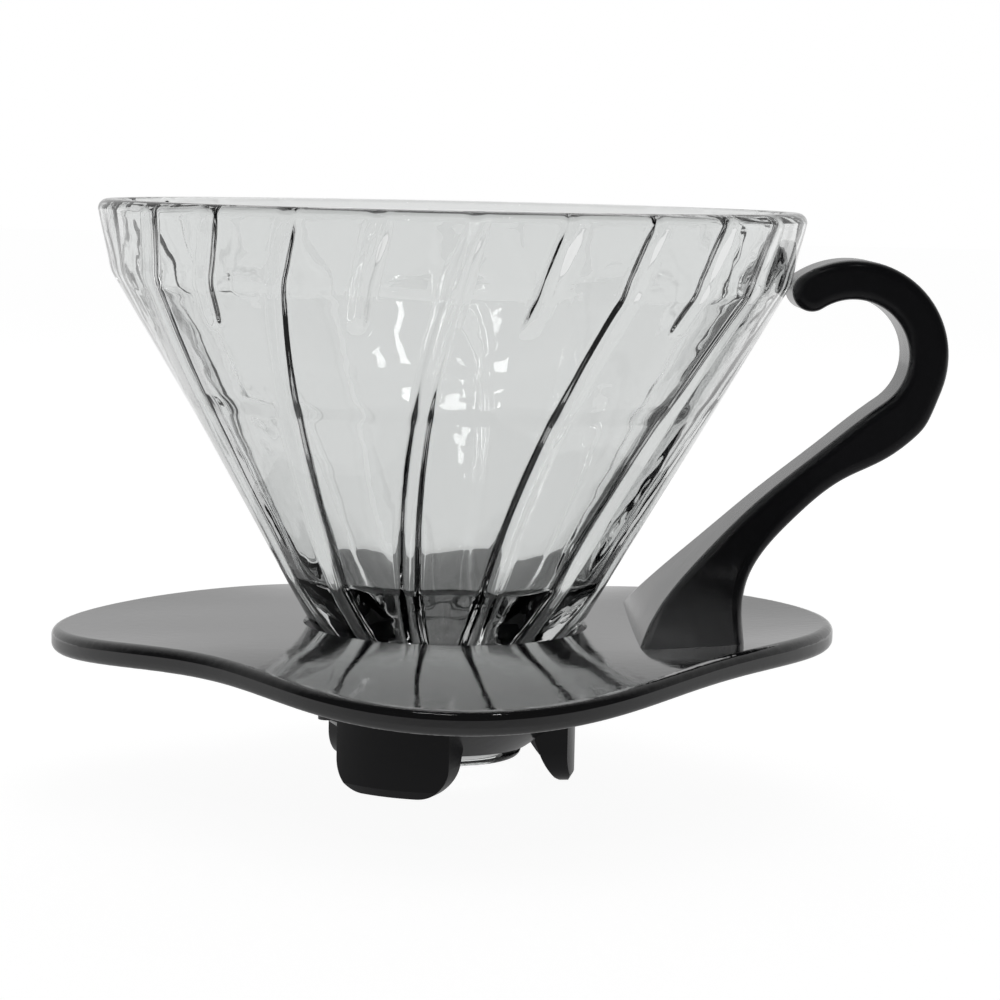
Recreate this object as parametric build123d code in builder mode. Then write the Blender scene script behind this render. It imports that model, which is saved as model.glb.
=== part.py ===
from build123d import *
import os
from math import atan2, cos, hypot, radians, sin, sqrt

# ---------------------------------------------------------------- driving dimensions, mm
# Z = 0 is the plane the three tabs stand on, Z is the brewing axis, the handle is at +X.
SEAT_Z = 22.2  # plane where the glass meets the top of the saucer
RIM_Z = 82.1
RIM_R = 50.3  # of the rim's corner, before its rounding trims it to 50
BAND_Z = 72.0  # the cone turns steeper here and becomes the rim band
SEAT_R = 19.5
CONE_SLOPE = 1 / sqrt(3)  # a 60 degree cone: radius gained per mm of height
WALL = 3.3  # glass thickness, measured radially, above the thick base
BASE_Z = 30.2  # the wall grows thicker below this, down to the seat plane
BASE_EXTRA = 3.2  # thickness gained by then
OUTLET_R = 8.5
NECK_R = 11.3
TIP_Z = 3.2
RIM_ROUND = 1.3
TIP_ROUND = 1.0

RIBS = 12  # full-length ribs; as many short ones stand between them at the rim
RIB_R = 1.5
RIB_SINK = 0.3  # depth of a rib's centre line inside the wall
RIB_LOW_Z = 26.0  # the ribs run out into the thick base here
RIB_TOP_GAP = 0.6  # the ribs stop this far below the rim
SHORT_RIB_END = 15.5  # depth below the rim of the short ribs' lower ends
RIB_PHASE = 4.5  # degrees from -Y to the nearest full-length rib, at the rim
RIB_TWIST = 20.2  # degrees of turn over the depth below
TWIST_DEPTH = 60.0
RIB_PATH_POINTS = 6
STEP_Z = 55.5  # faint ledge inside the cone
STEP_H = 0.4

SAUCER_T = 3.4
SAUCER_R = 51.9  # mean radius of the four-lobed outline
SAUCER_LOBES = (1.2, 0.15, -1.55, 4.1)  # waves of 1 to 4 turns added to that radius
EDGE_LIFT = -0.4  # mean height of the edge over the hub
EDGE_WAVES = (0.95, 1.4, 0.45, -0.8)  # waves of 1 to 4 turns added to that height
EDGE_ROUND = 1.2
SKIN_GRID = range(-60, 61, 4)  # X and Y of the points that shape the plate
OUTLINE_STEP = 10  # degrees between the points of the outline
HUB_FLAT_R = 22.0
HUB_BASE_R = 18.0
HUB_ROOT_R = 24.0  # where the hub grows out of the plate
HUB_SHOULDER_R = 21.0
HUB_SHOULDER_H = 1.0
SOCKET_CUT_Z = 24.2  # clear of the plate's top
COLLAR_TOP_Z = 13.6
COLLAR_Z = 9.6  # lower end of the threaded collar
PACKING_TOP_Z = 10.4
NUB_R = 1.2
NUB_H = 1.1
NUB_PLACES = ((-54.0, 0), (52.3, 0), (-15.0, -45.0), (-15.0, 45.0))

FIT = 0.05  # clearance of the silicone rings on the glass and in the saucer
GASKET_T = 0.85
GASKET_Z = 16.5
GASKET_TOP_Z = 21.7
SOCKET_GAP = 0.3  # plastic to glass, where no ring lies between them

THREAD_PITCH = 2.5
THREAD_ROOT_R = 15.9
THREAD_H = 0.65
THREAD_BURY = 0.2  # depth of a ridge's foot inside the wall that carries it
THREAD_GAP = 0.1  # crest to root, radially
RIDGE_FOOT = 1.2
RIDGE_CREST = 0.56
THREAD_INSET = 0.1  # from the end of a wall to the end of its ridge
FLANK_OFFSET = 0.9  # the ring's ridge lies this far above the collar's ridge

RING_Z = 5.0  # underside of the lock ring between its tabs
RING_TOP_Z = 13.4
RING_BODY_R = 18.4
RING_R = 19.1  # outside of the flange and the tabs
RING_BORE_R = 11.6
RING_FLAT_R = 12.3
RING_CHAMFER_Z = 9.3  # where the sloping underside meets the side
RING_FLOOR_Z = 9.0
POCKET_Z = 7.4  # floor of the recess that carries the packing
POCKET_R = 13.35
PACKING_R = 13.2
FLANGE_T = 1.6
TAB_COUNT = 3
TAB_WIDTH = 17.4
TAB_PHASE = 5.5  # degrees from +X to the middle of the first tab
TAB_CORNER = 4.5
TAB_SECTION = (  # (radius, height) down the outside of a tab and up its inside
    (19.1, 1.2),
    (18.4, 0),
    (17.4, 0),
    (16.9, 0.8),
    (15.0, 6.6),
    (15.4, 8.2),
    (17.4, 9.6),
)

STRAP_HALF_W = 6.0
STRAP_ROUND = 1.5
ROOT_HALF_W = 24.0
ROOT_IN_X = 26.4
ROOT_OUT_X = 41.3
ROOT_IN_LEAN = (-0.4, -1)  # direction of the inner edge where it meets the plate
ROOT_FLARE_LEAN = (-1, 0.7)
ROOT_Z = 21.4  # inside the plate, so that the plate trims the root to its own surface
ROOT_FLARE = ((14.0, 27.7), (9.0, 34.2))  # (Y, Z) points of the root's flank
STRAP_LOW_Z = 48.2  # the strap has its full, even width above this
STRAP_OUT = ((42.4, 30.4), (49.2, 38.9), (56.2, 44.6), (62.4, 47.8), (66.4, 51.0))  # (X, Z) points of the edge away from the glass
STRAP_IN = ((53.4, 49.1), (44.3, 41.6), (36.3, 34.0), (29.6, 26.8))
LOOP_X = 56.9
LOOP_Z = 62.1
LOOP_R_OUT = 13.6
LOOP_R_IN = 8.0
HOOK_ANGLE = 124.0
OUT_ANGLE = -20.0  # where the outside edge runs into the loop
IN_ANGLE = -55.0
PEG_R = 1.6
PEG_X = 35.2
PEG_Y = 9.0
PEG_HEAD_R = 2.8
PEG_HEAD_T = 0.9

os.makedirs("parts", exist_ok=True)


# ---------------------------------------------------------------- shared shapes
def cone_r(z):
    """Outside radius of the glass cone at height z, below the rim band."""
    return SEAT_R + CONE_SLOPE * (z - SEAT_Z)


def cone_z(r):
    """Height where the outside of the glass cone has radius r."""
    return SEAT_Z + (r - SEAT_R) / CONE_SLOPE


def turned(points):
    """Solid turned about Z from a closed outline of (radius, height) points."""
    with BuildPart() as solid:
        with BuildSketch(Plane.XZ):
            with BuildLine():
                Polyline(*points, close=True)
            make_face()
        revolve(axis=Axis.Z)
    return solid.part


def thread_ridge(wall_r, inward, low_z, high_z, phase_z):
    """Helical ridge on a wall; its centre line passes height phase_z at angle 0."""
    side = -1 if inward else 1
    with BuildPart() as ridge:
        with BuildLine() as path:
            Helix(THREAD_PITCH, high_z - low_z, wall_r, center=(0, 0, low_z))
        start = path.line @ 0
        with BuildSketch(Plane(origin=start, x_dir=(side, 0, 0), z_dir=path.line % 0)):
            with BuildLine():
                Polyline(
                    (-THREAD_BURY, -RIDGE_FOOT / 2),
                    (THREAD_H, -RIDGE_CREST / 2),
                    (THREAD_H, RIDGE_CREST / 2),
                    (-THREAD_BURY, RIDGE_FOOT / 2),
                    close=True,
                )
            make_face()
        sweep(path=path.line, is_frenet=True)
    return ridge.part.rotate(Axis.Z, 360 * (low_z - phase_z) / THREAD_PITCH)


# ---------------------------------------------------------------- glass cone
NECK_TOP_Z = cone_z(NECK_R)
CAVITY_Z = cone_z(OUTLET_R + WALL + BASE_EXTRA)
BAND_SLOPE = (RIM_R - cone_r(BAND_Z)) / (RIM_Z - BAND_Z)


def wall_r(z):
    """Inside radius of the glass at height z, without the thick base and the ledge."""
    return min(cone_r(z), cone_r(BAND_Z) + BAND_SLOPE * (z - BAND_Z)) - WALL


def twist(z):
    """Turn of the ribs in degrees at height z, counted from the rim."""
    t = (RIM_Z - z) / TWIST_DEPTH
    return RIB_TWIST * (1.25 * t - 0.25 * t * t)


def rib(low_z, phase):
    """Round rod, half sunk in the wall, that spirals from low_z to above the rim."""
    points = []
    for i in range(RIB_PATH_POINTS):
        z = low_z + (RIM_Z + RIB_R - low_z) * i / (RIB_PATH_POINTS - 1)
        angle = radians(phase - 90 - twist(z))
        r = wall_r(z) + RIB_SINK
        points.append((r * cos(angle), r * sin(angle), z))
    with BuildPart() as rod:
        with BuildLine() as path:
            Spline(*points)
        with BuildSketch(Plane(origin=path.line @ 0, z_dir=path.line % 0)):
            Circle(RIB_R)
        sweep(path=path.line)
        with Locations(path.line @ 0):
            Sphere(RIB_R)
    return rod.part


long_rib = rib(RIB_LOW_Z, RIB_PHASE)
short_rib = rib(RIM_Z - SHORT_RIB_END + RIB_R, RIB_PHASE + 180 / RIBS)
outside = turned(
    [
        (0, TIP_Z),
        (NECK_R, TIP_Z),
        (NECK_R, NECK_TOP_Z),
        (cone_r(BAND_Z), BAND_Z),
        (RIM_R, RIM_Z),
        (0, RIM_Z),
    ]
)
cavity = turned(
    [
        (0, TIP_Z),
        (OUTLET_R, TIP_Z),
        (OUTLET_R, CAVITY_Z),
        (wall_r(SEAT_Z) - BASE_EXTRA, SEAT_Z),
        (wall_r(BASE_Z), BASE_Z),
        (wall_r(STEP_Z), STEP_Z),
        (wall_r(STEP_Z) + STEP_H, STEP_Z),
        (wall_r(BAND_Z) + STEP_H, BAND_Z),
        (wall_r(RIM_Z) + STEP_H, RIM_Z),
        (0, RIM_Z),
    ]
)

with BuildPart() as ribs:
    with PolarLocations(0, RIBS):
        add(long_rib)
        add(short_rib)
    with Locations((0, 0, RIM_Z - RIB_TOP_GAP)):
        Cylinder(2 * RIM_R, 4 * RIB_R, align=(Align.CENTER, Align.CENTER, Align.MIN), mode=Mode.SUBTRACT)

with BuildPart() as glass_cone:
    add(outside)
    rounds = glass_cone.edges().filter_by(GeomType.CIRCLE).sort_by(Axis.Z)
    fillet(rounds[-1], RIM_ROUND)
    fillet(rounds[0], TIP_ROUND)
    add(cavity, mode=Mode.SUBTRACT)
    add(ribs.part)
glass_cone.part.label = "glass_cone"
export_step(glass_cone.part, "parts/glass_cone.step")


# ---------------------------------------------------------------- saucer
def waves(sizes, angle):
    """Sum of cosine waves round the axis, the first with one crest at +X, the next with two, and so on."""
    return sum(size * cos((i + 1) * angle) for i, size in enumerate(sizes))


def lobe_r(angle):
    """Four-lobed outline: a tongue at each end, a lobe at the front and the back."""
    return SAUCER_R + waves(SAUCER_LOBES, angle)


def edge_rise(angle):
    """Height of the edge over the hub: the front and back lobes droop."""
    return EDGE_LIFT + waves(EDGE_WAVES, angle)


def saucer_z(x, y):
    """Height of the plate's top surface, level at the hub and waved at the edge."""
    angle = atan2(y, x)
    reach = max(hypot(x, y) - HUB_FLAT_R, 0) / (lobe_r(angle) - HUB_FLAT_R)
    return SEAT_Z + edge_rise(angle) * reach**2


OUTLINE_ANGLES = [radians(a) for a in range(0, 360, OUTLINE_STEP)]
COLLAR_PHASE_Z = COLLAR_Z + RIDGE_FOOT / 2 + THREAD_INSET
skin_points = [[Vector(x, y, saucer_z(x, y)) for y in SKIN_GRID] for x in SKIN_GRID]
top_skin = Face.make_surface_from_array_of_points(skin_points, tol=0.02)
hub = turned(
    [
        (0, SEAT_Z - SAUCER_T / 2),
        (HUB_ROOT_R, SEAT_Z - SAUCER_T / 2),
        (HUB_SHOULDER_R, SEAT_Z - SAUCER_T - HUB_SHOULDER_H),
        (HUB_BASE_R, COLLAR_TOP_Z),
        (THREAD_ROOT_R, COLLAR_TOP_Z),
        (THREAD_ROOT_R, COLLAR_Z),
        (0, COLLAR_Z),
    ]
)
SOCKET_OFFSET = GASKET_T + 2 * FIT
socket = turned(
    [
        (0, SOCKET_CUT_Z),
        (cone_r(SOCKET_CUT_Z) + SOCKET_OFFSET, SOCKET_CUT_Z),
        (cone_r(GASKET_Z) + SOCKET_OFFSET, GASKET_Z),
        (cone_r(GASKET_Z) + SOCKET_GAP, GASKET_Z),
        (cone_r(PACKING_TOP_Z) + SOCKET_GAP, PACKING_TOP_Z),
        (PACKING_R + FIT, PACKING_TOP_Z),
        (PACKING_R + FIT, POCKET_Z),
        (0, POCKET_Z),
    ]
)
COLLAR_RIDGE_TOP_Z = COLLAR_TOP_Z - RIDGE_FOOT / 2 - THREAD_INSET
collar_thread = thread_ridge(THREAD_ROOT_R, False, COLLAR_PHASE_Z, COLLAR_RIDGE_TOP_Z, COLLAR_PHASE_Z)

with BuildPart() as saucer:
    extrude(top_skin, amount=SAUCER_T, dir=(0, 0, -1))
    with BuildSketch(Plane.XY):
        with BuildLine():
            Spline(*[(lobe_r(a) * cos(a), lobe_r(a) * sin(a)) for a in OUTLINE_ANGLES], periodic=True)
        make_face()
    extrude(amount=2 * SEAT_Z, mode=Mode.INTERSECT)
    fillet(saucer.edges().filter_by(lambda edge: edge.length > 2 * SAUCER_R), EDGE_ROUND)
    add(hub)
    add(socket, mode=Mode.SUBTRACT)
    add(collar_thread)
    for x, y in NUB_PLACES:
        with Locations((x, y, saucer_z(x, y) - SAUCER_T)):
            Cylinder(NUB_R, 2 * NUB_H)
    with Locations((PEG_X, PEG_Y, SEAT_Z), (PEG_X, -PEG_Y, SEAT_Z)):
        Cylinder(PEG_R + FIT, 4 * SAUCER_T, mode=Mode.SUBTRACT)
saucer.part.label = "saucer"
export_step(saucer.part, "parts/saucer.step")


# ---------------------------------------------------------------- handle
def loop_point(radius, angle):
    """Point of the loop at a radius and an angle in degrees, in the XZ plane."""
    return (LOOP_X + radius * cos(radians(angle)), LOOP_Z + radius * sin(radians(angle)))


with BuildPart() as handle:
    with BuildSketch(Plane.XZ):
        with BuildLine():
            Spline(
                (ROOT_OUT_X, ROOT_Z),
                *STRAP_OUT,
                loop_point(LOOP_R_OUT, OUT_ANGLE),
                tangents=((0, 1), (-sin(radians(OUT_ANGLE)), cos(radians(OUT_ANGLE)))),
            )
            CenterArc((LOOP_X, LOOP_Z), LOOP_R_OUT, OUT_ANGLE, HOOK_ANGLE - OUT_ANGLE)
            CenterArc(
                loop_point((LOOP_R_OUT + LOOP_R_IN) / 2, HOOK_ANGLE),
                (LOOP_R_OUT - LOOP_R_IN) / 2,
                HOOK_ANGLE,
                180,
            )
            CenterArc((LOOP_X, LOOP_Z), LOOP_R_IN, HOOK_ANGLE, IN_ANGLE - HOOK_ANGLE)
            Spline(
                loop_point(LOOP_R_IN, IN_ANGLE),
                *STRAP_IN,
                (ROOT_IN_X, ROOT_Z),
                tangents=((sin(radians(IN_ANGLE)), -cos(radians(IN_ANGLE))), ROOT_IN_LEAN),
            )
            Line((ROOT_IN_X, ROOT_Z), (ROOT_OUT_X, ROOT_Z))
        make_face()
    extrude(amount=ROOT_HALF_W, both=True)
    with BuildSketch(Plane.YZ):
        with BuildLine():
            Line((0, ROOT_Z), (ROOT_HALF_W, ROOT_Z))
            Spline(
                (ROOT_HALF_W, ROOT_Z),
                *ROOT_FLARE,
                (STRAP_HALF_W, STRAP_LOW_Z),
                tangents=(ROOT_FLARE_LEAN, (0, 1)),
            )
            Line((STRAP_HALF_W, STRAP_LOW_Z), (STRAP_HALF_W, RIM_Z))
            Line((STRAP_HALF_W, RIM_Z), (0, RIM_Z))
            mirror(about=Plane.YZ)
        make_face()
    extrude(amount=LOOP_X + 2 * LOOP_R_OUT, mode=Mode.INTERSECT)
    fillet(
        handle.edges().filter_by(lambda edge: edge.bounding_box().max.Z > SEAT_Z),
        STRAP_ROUND,
    )
    with Locations((PEG_X, PEG_Y, SEAT_Z), (PEG_X, -PEG_Y, SEAT_Z)):
        Cylinder(PEG_R, 2 * SAUCER_T)
    with Locations((PEG_X, PEG_Y, SEAT_Z - SAUCER_T), (PEG_X, -PEG_Y, SEAT_Z - SAUCER_T)):
        Cylinder(PEG_HEAD_R, 2 * PEG_HEAD_T)
    add(saucer.part, mode=Mode.SUBTRACT)
handle.part.label = "handle"
export_step(handle.part, "parts/handle.step")

# ---------------------------------------------------------------- silicone rings
with BuildPart() as seat_gasket:
    add(
        turned(
            [
                (cone_r(GASKET_Z) + FIT, GASKET_Z + FIT),
                (cone_r(GASKET_Z) + FIT + GASKET_T, GASKET_Z + FIT),
                (cone_r(GASKET_TOP_Z) + FIT + GASKET_T, GASKET_TOP_Z),
                (cone_r(GASKET_TOP_Z) + FIT, GASKET_TOP_Z),
            ]
        )
    )
seat_gasket.part.label = "seat_gasket"
export_step(seat_gasket.part, "parts/seat_gasket.step")

with BuildPart() as neck_packing:
    add(
        turned(
            [
                (NECK_R + FIT, POCKET_Z + FIT),
                (PACKING_R, POCKET_Z + FIT),
                (PACKING_R, PACKING_TOP_Z - FIT),
                (cone_r(PACKING_TOP_Z) + FIT, PACKING_TOP_Z - FIT),
                (NECK_R + FIT, NECK_TOP_Z - FIT),
            ]
        )
    )
neck_packing.part.label = "neck_packing"
export_step(neck_packing.part, "parts/neck_packing.step")

# ---------------------------------------------------------------- lock ring
RING_WALL_R = THREAD_ROOT_R + THREAD_H + THREAD_GAP
RING_THREAD_Z = RING_FLOOR_Z + RIDGE_FOOT / 2 + THREAD_INSET
ring_thread = thread_ridge(
    RING_WALL_R,
    True,
    RING_THREAD_Z,
    RING_TOP_Z - RIDGE_FOOT / 2 - THREAD_INSET,
    COLLAR_PHASE_Z + FLANK_OFFSET,
)
ring_body = turned(
    [
        (RING_BORE_R, RING_Z),
        (RING_FLAT_R, RING_Z),
        (RING_BODY_R, RING_CHAMFER_Z),
        (RING_BODY_R, RING_TOP_Z - FLANGE_T),
        (RING_R, RING_TOP_Z - FLANGE_T),
        (RING_R, RING_TOP_Z),
        (RING_WALL_R, RING_TOP_Z),
        (RING_WALL_R, RING_FLOOR_Z),
        (POCKET_R, RING_FLOOR_Z),
        (POCKET_R, POCKET_Z),
        (RING_BORE_R, POCKET_Z),
    ]
)

with BuildPart() as lock_ring:
    add(
        turned(
            [
                (RING_R, RING_TOP_Z - FLANGE_T),
                *TAB_SECTION,
                (TAB_SECTION[-1][0], RING_TOP_Z - FLANGE_T),
            ]
        )
    )
    tab_planes = [
        Plane(origin=(0, 0, 0), x_dir=(-sin(a), cos(a), 0), z_dir=(cos(a), sin(a), 0))
        for a in (radians(TAB_PHASE + 360 * i / TAB_COUNT) for i in range(TAB_COUNT))
    ]
    with BuildSketch(*tab_planes):
        with Locations((0, RING_R / 2)):
            RectangleRounded(TAB_WIDTH, RING_R, TAB_CORNER)
    extrude(amount=RING_R + 1, mode=Mode.INTERSECT)
    add(ring_body)
    add(ring_thread)
lock_ring.part.label = "lock_ring"
export_step(lock_ring.part, "parts/lock_ring.step")
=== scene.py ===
import math

import bpy
from mathutils import Matrix, Vector


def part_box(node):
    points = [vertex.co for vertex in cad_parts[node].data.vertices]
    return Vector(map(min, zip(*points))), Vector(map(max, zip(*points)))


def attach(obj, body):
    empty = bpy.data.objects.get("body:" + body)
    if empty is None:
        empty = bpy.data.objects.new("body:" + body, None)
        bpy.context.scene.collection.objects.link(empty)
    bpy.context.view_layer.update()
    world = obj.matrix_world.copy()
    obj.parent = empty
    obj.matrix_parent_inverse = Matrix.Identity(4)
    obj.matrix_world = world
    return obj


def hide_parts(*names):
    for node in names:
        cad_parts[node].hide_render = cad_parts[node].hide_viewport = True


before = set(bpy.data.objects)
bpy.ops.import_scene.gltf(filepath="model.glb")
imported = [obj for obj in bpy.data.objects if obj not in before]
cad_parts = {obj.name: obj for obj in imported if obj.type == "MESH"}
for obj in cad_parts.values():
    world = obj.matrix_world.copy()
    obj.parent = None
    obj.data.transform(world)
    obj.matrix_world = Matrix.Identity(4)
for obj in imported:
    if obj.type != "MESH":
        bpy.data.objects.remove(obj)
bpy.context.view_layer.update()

MM = 0.001

# ---------------------------------------------------------------- sizes, metres
glass_low, glass_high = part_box("glass_cone")
TIP_Z = glass_low.z
RIM_Z = glass_high.z
RIM_R = (glass_high.x - glass_low.x) / 2
SEAT_Z = TIP_Z + 19.0 * MM  # plane where the glass meets the saucer
SEAT_R = 19.5 * MM
BAND_Z = RIM_Z - 10.1 * MM  # the steeper band under the rim starts here
BAND_BLEND = 2 * MM
NECK_R = 11.3 * MM
OUTLET_R = 8.5 * MM
WALL = 3.3 * MM
SLOPE = math.tan(math.radians(30))
BASE_Z = SEAT_Z + 8.0 * MM  # the wall grows thicker below this
BASE_RUN = 8.0 * MM
BASE_EXTRA = 3.2 * MM
STEP_Z = SEAT_Z + 33.3 * MM  # middle of the faint ledge inside
STEP_H = 0.25 * MM
STEP_HALF = 1.5 * MM
RIM_ROUND = 1.4 * MM
LIP_ROUND = 0.8 * MM  # inside edge of the rim
TIP_ROUND = 1.0 * MM

RIBS = 12
RIB_H = 1.25 * MM
RIB_HALF_W = 1.5 * MM
RIB_LOW_Z = SEAT_Z - 5.0 * MM
RIB_RUN_IN = 3 * MM
SHORT_RIB_END = 15.5 * MM  # below the rim
SHORT_RIB_TAPER = 2.2 * MM
SOFT_LOW_Z = STEP_Z - 1 * MM  # the ribs grow lower from here
SOFT_HIGH_Z = STEP_Z + 6 * MM  # to here
SOFT_LOSS = 0.45
RIM_SHARE = 0.3  # of the rib height that is left at the rim
RIM_FADE = (0.2 * MM, 4 * MM)  # below the rim
RIB_PHASE = 4.5  # degrees, at the rim
RIB_TWIST = 20.2  # degrees, over TWIST_DEPTH
TWIST_BEND = 0.25
TWIST_DEPTH = 60.0 * MM
FLUTE = 0.55 * MM  # depth of the shallow outside flutes between the ribs
FLUTE_START_Z = SEAT_Z + 3 * MM
FLUTE_FULL_Z = SEAT_Z + 16 * MM
FLUTE_TOP_Z = RIM_Z - 2 * MM

COLUMNS_PER_RIB = 44
CROWDING = 0.75  # how strongly columns gather at the ribs
ARC_STEPS = 6
RIM_STEPS = 8
OUTSIDE_STEPS = 120
ABOVE_STEP_STEPS = 44
STEP_STEPS = 12
BELOW_STEP_STEPS = 90


def smooth(a, b, value):
    """Smooth step from 0 at a to 1 at b."""
    t = min(max((value - a) / (b - a), 0.0), 1.0)
    return t * t * (3 - 2 * t)


# ---------------------------------------------------------------- mesh helpers
def mesh_object(name, verts, faces):
    """New smooth-shaded mesh object at the origin."""
    mesh = bpy.data.meshes.new(name)
    mesh.from_pydata(verts, [], faces)
    mesh.validate()
    mesh.polygons.foreach_set("use_smooth", [True] * len(mesh.polygons))
    mesh.update()
    obj = bpy.data.objects.new(name, mesh)
    bpy.context.scene.collection.objects.link(obj)
    return obj


def closed_grid(rows, columns):
    """Quads of a grid that closes on itself in both directions."""
    faces = []
    for i in range(rows):
        i2 = (i + 1) % rows
        for j in range(columns):
            j2 = (j + 1) % columns
            faces.append((i * columns + j, i * columns + j2, i2 * columns + j2, i2 * columns + j))
    return faces


# ---------------------------------------------------------------- glass cone
def cone_r(z):
    """Outside radius of the glass below the rim band."""
    return SEAT_R + SLOPE * (z - SEAT_Z)


def outer_r(z):
    """Nominal outside radius of the glass at height z, neck to rim."""
    band = (RIM_R - cone_r(BAND_Z)) / (RIM_Z - RIM_ROUND - BAND_Z)
    over = smooth(BAND_Z - BAND_BLEND, BAND_Z + BAND_BLEND, z)
    upper = cone_r(BAND_Z) + band * (z - BAND_Z)
    return max(NECK_R, (1 - over) * cone_r(z) + over * upper)


def twist(z):
    """Turn of the ribs in radians at height z, counted from the rim."""
    t = (RIM_Z - z) / TWIST_DEPTH
    return math.radians(RIB_TWIST * ((1 + TWIST_BEND) * t - TWIST_BEND * t * t))


def inner_r(z):
    """Inside radius of the glass between the ribs."""
    step = STEP_H * smooth(STEP_Z - STEP_HALF, STEP_Z + STEP_HALF, z)
    base = BASE_EXTRA * min(max((BASE_Z - z) / BASE_RUN, 0.0), 1.0)
    return max(OUTLET_R, outer_r(z) - WALL - STEP_H - base + step)


def bump(distance):
    """Cross-section of a rib, 0 to 1, at a distance from its crest."""
    u = min(abs(distance) / RIB_HALF_W, 1.0)
    return (1 - u ** 3) ** 1.5


def rib_height(z, r, turns):
    """How far the ribs stand proud of the inside wall; turns counts rib spacings round the cone."""
    spacing = 2 * math.pi * r / RIBS
    to_long = spacing * (turns - round(turns))
    to_short = spacing * (turns - 0.5 - round(turns - 0.5))
    long_w = smooth(RIB_LOW_Z, RIB_LOW_Z + RIB_RUN_IN, z)
    depth = RIM_Z - z
    short_w = math.sqrt(1 - smooth(SHORT_RIB_END - SHORT_RIB_TAPER, SHORT_RIB_END, depth))
    soft = 1 - SOFT_LOSS * smooth(SOFT_LOW_Z, SOFT_HIGH_Z, z)
    top_w = RIM_SHARE + (1 - RIM_SHARE) * smooth(*RIM_FADE, depth)
    return RIB_H * soft * top_w * (long_w * bump(to_long) + short_w * bump(to_short))


def flute(z, turns):
    """Depth of the outside flutes: none at the seat and at the rim."""
    weight = smooth(FLUTE_START_Z, FLUTE_FULL_Z, z) * (1 - smooth(BAND_Z, FLUTE_TOP_Z, z))
    return FLUTE * weight * (0.5 - 0.5 * math.cos(2 * math.pi * turns))


def spread(a, b, count):
    """count values from a to b, without b."""
    return [a + (b - a) * i / count for i in range(count)]


def arc(centre, radius, start, end, count):
    """Points of an arc in the radius-height plane, from angle to angle in degrees, without the last."""
    turns = [math.radians(a) for a in spread(start, end, count)]
    return [(centre[0] + radius * math.cos(a), centre[1] + radius * math.sin(a)) for a in turns]


def glass_profile():
    """Closed profile as (radius, height, outside?) stations: up the outside, down the inside."""
    tip_z = TIP_Z + TIP_ROUND
    rim_z = RIM_Z - RIM_ROUND
    lip_z = RIM_Z - LIP_ROUND
    lip_r = inner_r(rim_z) + LIP_ROUND
    outside = arc((NECK_R - TIP_ROUND, tip_z), TIP_ROUND, -90, 0, ARC_STEPS)
    outside += [(outer_r(z), z) for z in spread(tip_z, rim_z, OUTSIDE_STEPS)]
    outside += arc((RIM_R - RIM_ROUND, rim_z), RIM_ROUND, 0, 90, RIM_STEPS)
    inside = arc((lip_r, lip_z), LIP_ROUND, 90, 180, ARC_STEPS)
    inside += [(inner_r(min(z, rim_z)), z) for z in spread(lip_z, STEP_Z + STEP_HALF, ABOVE_STEP_STEPS)]
    inside += [(inner_r(z), z) for z in spread(STEP_Z + STEP_HALF, STEP_Z - STEP_HALF, STEP_STEPS)]
    inside += [(inner_r(z), z) for z in spread(STEP_Z - STEP_HALF, tip_z, BELOW_STEP_STEPS)]
    inside += arc((OUTLET_R + TIP_ROUND, tip_z), TIP_ROUND, 180, 270, ARC_STEPS)
    return [(r, z, True) for r, z in outside] + [(r, z, False) for r, z in inside]


def make_glass():
    """Pressed glass cone with spiral ribs inside and shallow flutes outside."""
    columns = RIBS * COLUMNS_PER_RIB
    stations = glass_profile()
    verts = []
    for r, z, outside in stations:
        turn = math.radians(RIB_PHASE - 90) - twist(z)
        for j in range(columns):
            even = j / COLUMNS_PER_RIB
            turns = even - CROWDING * math.sin(4 * math.pi * even) / (4 * math.pi)
            change = flute(z, turns) if outside else rib_height(z, r, turns)
            angle = turn + 2 * math.pi * turns / RIBS
            verts.append(((r - change) * math.cos(angle), (r - change) * math.sin(angle), z))
    return mesh_object("cone_glass", verts, closed_grid(len(stations), columns))


# ---------------------------------------------------------------- materials
FLOOR_DIM = 0.03  # emission strengths of the floor
FLOOR_BRIGHT = 0.80
FLOOR_TO_CAMERA = 0.94
# material name, tone, index of refraction, lowest and highest roughness
PLASTICS = {
    "saucer": ("gloss_black_saucer", 0.013, 1.9, 0.03, 0.09),
    "handle": ("gloss_black_handle", 0.024, 1.33, 0.14, 0.24),
    "lock_ring": ("gloss_black_ring", 0.014, 1.35, 0.16, 0.28),
}


def new_material(name):
    """New node material with a Principled shader; returns material, nodes, links, shader."""
    mat = bpy.data.materials.new(name)
    mat.use_nodes = True
    tree = mat.node_tree
    shader = tree.nodes["Principled BSDF"]
    return mat, tree.nodes, tree.links, shader


def position(nodes):
    """Object-space position output."""
    return nodes.new("ShaderNodeTexCoord").outputs["Object"]


def noise(nodes, links, scale, detail, roughness=0.5):
    """Noise factor in object space; scale is in cycles per metre."""
    node = nodes.new("ShaderNodeTexNoise")
    node.inputs["Scale"].default_value = scale
    node.inputs["Detail"].default_value = detail
    node.inputs["Roughness"].default_value = roughness
    links.new(position(nodes), node.inputs["Vector"])
    return node.outputs["Fac"]


def ramp(nodes, links, source, low, high, to_low, to_high):
    """Map a value range to another."""
    node = nodes.new("ShaderNodeMapRange")
    node.inputs["From Min"].default_value = low
    node.inputs["From Max"].default_value = high
    node.inputs["To Min"].default_value = to_low
    node.inputs["To Max"].default_value = to_high
    links.new(source, node.inputs["Value"])
    return node.outputs["Result"]


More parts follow.
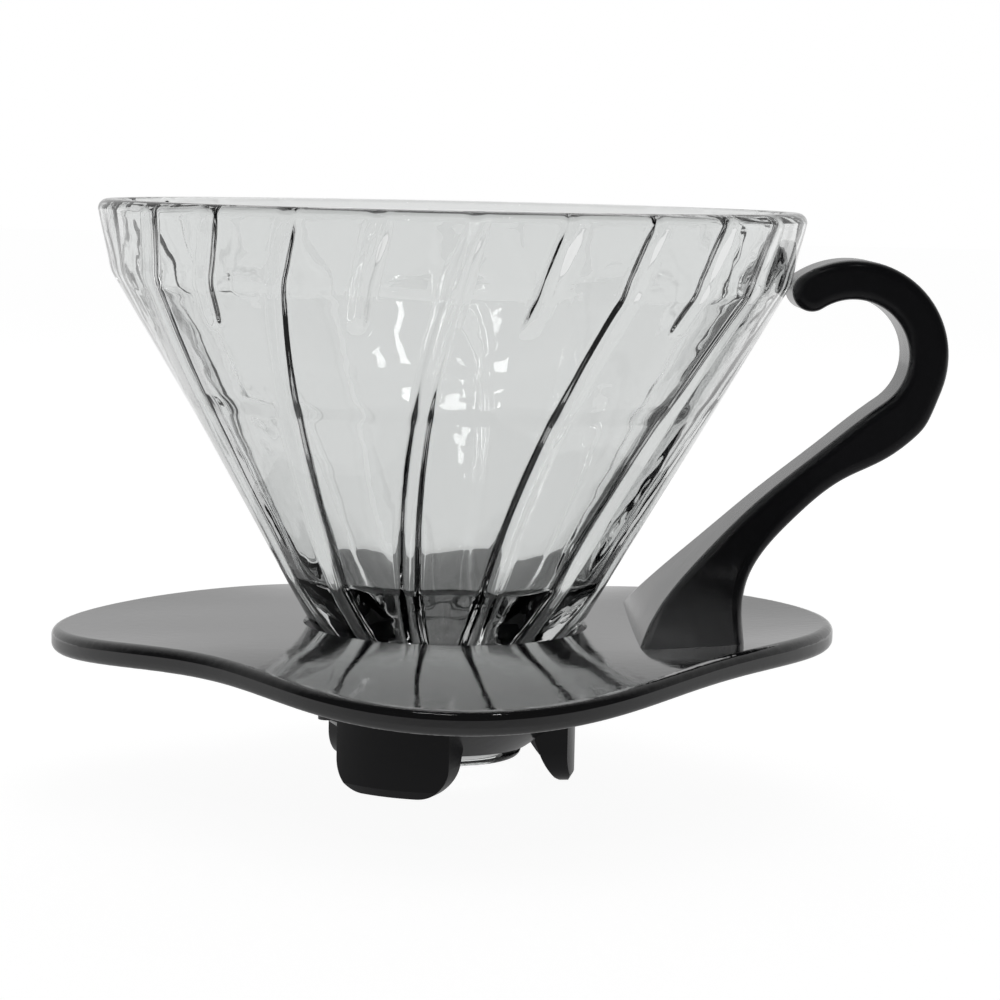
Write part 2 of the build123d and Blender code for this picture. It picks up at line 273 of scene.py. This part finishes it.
def combine(nodes, links, operation, source, other):
    """A math node on an output and either a second output or a number."""
    node = nodes.new("ShaderNodeMath")
    node.operation = operation
    links.new(source, node.inputs[0])
    if isinstance(other, float):
        node.inputs[1].default_value = other
    else:
        links.new(other, node.inputs[1])
    return node.outputs[0]


def mix_to(nodes, links, share, source, value):
    """Output that goes from source to value as share goes from 0 to 1."""
    node = nodes.new("ShaderNodeMix")
    links.new(share, node.inputs["Factor"])
    links.new(source, node.inputs["A"])
    node.inputs["B"].default_value = value
    return node.outputs["Result"]


def bump_from(nodes, links, source, distance):
    """Normal from a height value; distance in metres."""
    node = nodes.new("ShaderNodeBump")
    node.inputs["Strength"].default_value = 1.0
    node.inputs["Distance"].default_value = distance
    links.new(source, node.inputs["Height"])
    return node.outputs["Normal"]


def glass_material():
    """Clear pressed glass: faint surface ripple, slight grey-green body, with a painted shade band that
    makes the body a little darker below the ledge than above it.
    """
    mat, nodes, links, shader = new_material("clear_pressed_glass")
    parts = nodes.new("ShaderNodeSeparateXYZ")
    links.new(position(nodes), parts.inputs["Vector"])
    blend = 0.6 * MM
    above = ramp(nodes, links, parts.outputs["Z"], STEP_Z - blend, STEP_Z + blend, 0.0, 1.0)
    # painted shade: the base colour steps a little darker below the ledge than above it, standing in
    # for the change of light through the wall there
    tint_and_painted_band = nodes.new("ShaderNodeValToRGB")
    tint_and_painted_band.color_ramp.elements[0].color = (0.884, 0.894, 0.890, 1)
    tint_and_painted_band.color_ramp.elements[1].color = (0.896, 0.906, 0.902, 1)
    links.new(above, tint_and_painted_band.inputs["Fac"])
    links.new(tint_and_painted_band.outputs["Color"], shader.inputs["Base Color"])
    shader.inputs["Transmission Weight"].default_value = 1.0
    shader.inputs["IOR"].default_value = 1.47
    haze = noise(nodes, links, 900, 3)
    links.new(ramp(nodes, links, haze, 0.35, 0.75, 0.0, 0.03), shader.inputs["Roughness"])
    ripple = noise(nodes, links, 110, 2)
    links.new(bump_from(nodes, links, ripple, 0.00012), shader.inputs["Normal"])
    return mat


def plastic_material(name, tone, ior, low_rough, high_rough):
    """Gloss black moulded plastic with a faint flow texture and handling haze."""
    mat, nodes, links, shader = new_material(name)
    haze = noise(nodes, links, 35, 4, 0.6)
    fine = noise(nodes, links, 900, 3)
    colour = nodes.new("ShaderNodeValToRGB")
    colour.color_ramp.elements[0].color = (0.8 * tone, 0.8 * tone, 0.9 * tone, 1)
    colour.color_ramp.elements[1].color = (1.2 * tone, 1.2 * tone, 1.35 * tone, 1)
    links.new(haze, colour.inputs["Fac"])
    links.new(colour.outputs["Color"], shader.inputs["Base Color"])
    links.new(ramp(nodes, links, haze, 0.3, 0.8, low_rough, high_rough), shader.inputs["Roughness"])
    links.new(bump_from(nodes, links, fine, 0.00002), shader.inputs["Normal"])
    shader.inputs["IOR"].default_value = ior
    return mat


def silicone_material():
    """Dark food-grade silicone: soft sheen and fine dusting."""
    mat, nodes, links, shader = new_material("dark_silicone")
    shader.inputs["Base Color"].default_value = (0.028, 0.028, 0.03, 1)
    fine = noise(nodes, links, 1500, 3)
    links.new(ramp(nodes, links, fine, 0.3, 0.7, 0.42, 0.62), shader.inputs["Roughness"])
    links.new(bump_from(nodes, links, fine, 0.00003), shader.inputs["Normal"])
    shader.inputs["Sheen Weight"].default_value = 0.15
    return mat


def floor_material():
    """Pale matte floor that looks evenly lit.

    In reflections it is dimmer on the camera's side. Through the glass its far part stays bright.
    """
    mat, nodes, links, shader = new_material("pale_floor")
    grain = noise(nodes, links, 60, 3)
    links.new(ramp(nodes, links, grain, 0.3, 0.7, 0.86, 0.94), shader.inputs["Roughness"])
    shader.inputs["Base Color"].default_value = (0.22, 0.22, 0.22, 1)
    shader.inputs["Specular IOR Level"].default_value = 0.0
    shader.inputs["Emission Color"].default_value = (1, 1, 1, 1)
    rays = nodes.new("ShaderNodeLightPath").outputs
    parts = nodes.new("ShaderNodeSeparateXYZ")
    links.new(position(nodes), parts.inputs["Vector"])
    near = ramp(nodes, links, parts.outputs["Y"], -0.25, 0.25, FLOOR_DIM, FLOOR_BRIGHT)
    distance = nodes.new("ShaderNodeVectorMath")
    distance.operation = "LENGTH"
    links.new(position(nodes), distance.inputs[0])
    far = ramp(nodes, links, distance.outputs["Value"], 0.3, 0.9, 0.0, FLOOR_BRIGHT)
    seen = combine(nodes, links, "MULTIPLY", far, rays["Is Transmission Ray"])
    indirect = combine(nodes, links, "MAXIMUM", near, seen)
    strength = mix_to(nodes, links, rays["Is Camera Ray"], indirect, FLOOR_TO_CAMERA)
    links.new(strength, shader.inputs["Emission Strength"])
    return mat


def set_material(obj, mat):
    """Make mat the only material of obj."""
    obj.data.materials.clear()
    obj.data.materials.append(mat)


# ---------------------------------------------------------------- build
glass = make_glass()
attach(glass, "glass")
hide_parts("glass_cone")
set_material(glass, glass_material())

for name, finish in PLASTICS.items():
    set_material(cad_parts[name], plastic_material(*finish))
silicone = silicone_material()
for name in ("seat_gasket", "neck_packing"):
    set_material(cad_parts[name], silicone)
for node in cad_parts.values():
    node.data.polygons.foreach_set("use_smooth", [True] * len(node.data.polygons))


# ---------------------------------------------------------------- studio
THROUGH_GLASS = 0.7  # how far the surround turns white when it is seen through the glass
# name, place, target, width, height, watts
LIGHTS = [
    ("top_softbox", (0.1, 0.6, 0.7), (0, 0, 0.04), 0.5, 0.5, 0.8),
    ("streak_left", (0.155, -0.341, 0.650), (-0.008, 0.040, 0.064), 0.025, 0.042, 0.04),
    ("glow_right", (-0.143, -0.350, 0.641), (0.007, 0.037, 0.058), 0.19, 0.014, 0.09),
]
CAMERA_BACK = 416.5 * MM  # from the brewing axis
CAMERA_RISE = 66.0 * MM  # over the seat plane
AIM = Vector((7.5 * MM, 0, SEAT_Z + 17.9 * MM))
ROLL = 1.25  # degrees
LENS = 105.1
SENSOR = 36.0


def make_floor():
    """Flat pale floor under the object."""
    size = 3.0
    verts = [(-size, -size, 0), (size, -size, 0), (size, size, 0), (-size, size, 0)]
    floor = mesh_object("floor", verts, [(0, 1, 2, 3)])
    set_material(floor, floor_material())


def make_world():
    """White surround: bright behind, dimmer on the camera's side, and white to the camera itself."""
    world = bpy.data.worlds.new("studio")
    bpy.context.scene.world = world
    world.use_nodes = True
    nodes, links = world.node_tree.nodes, world.node_tree.links
    nodes.clear()
    direction = nodes.new("ShaderNodeTexCoord").outputs["Generated"]
    parts = nodes.new("ShaderNodeSeparateXYZ")
    links.new(direction, parts.inputs["Vector"])
    around = ramp(nodes, links, parts.outputs["Y"], -0.1, 0.75, 0.04, 0.68)
    rays = nodes.new("ShaderNodeLightPath").outputs
    through = combine(nodes, links, "MULTIPLY", rays["Is Transmission Ray"], THROUGH_GLASS)
    whiteness = combine(nodes, links, "MAXIMUM", rays["Is Camera Ray"], through)
    background = nodes.new("ShaderNodeBackground")
    background.inputs["Color"].default_value = (1, 1, 1, 1)
    links.new(mix_to(nodes, links, whiteness, around, 1.0), background.inputs["Strength"])
    output = nodes.new("ShaderNodeOutputWorld")
    links.new(background.outputs["Background"], output.inputs["Surface"])


def area_light(name, place, target, width, height, power):
    """Soft rectangular light at place, aimed at target."""
    light = bpy.data.lights.new(name, "AREA")
    light.shape = "RECTANGLE"
    light.size = width
    light.size_y = height
    light.energy = power
    obj = bpy.data.objects.new(name, light)
    obj.location = place
    obj.rotation_euler = (Vector(target) - Vector(place)).to_track_quat("-Z", "Y").to_euler()
    bpy.context.scene.collection.objects.link(obj)


def make_camera():
    """Long-lens view from the front, a little above the rim."""
    data = bpy.data.cameras.new("camera")
    data.lens = LENS
    data.sensor_width = SENSOR
    data.clip_start = 0.01
    camera = bpy.data.objects.new("camera", data)
    place = Vector((0, -CAMERA_BACK, SEAT_Z + CAMERA_RISE))
    look = (AIM - place).to_track_quat("-Z", "Y").to_matrix().to_4x4()
    camera.matrix_world = Matrix.Translation(place) @ look @ Matrix.Rotation(math.radians(ROLL), 4, "Z")
    bpy.context.scene.collection.objects.link(camera)
    bpy.context.scene.camera = camera


make_floor()
make_world()
for light in LIGHTS:
    area_light(*light)
make_camera()
bpy.context.scene.view_settings.view_transform = "Standard"
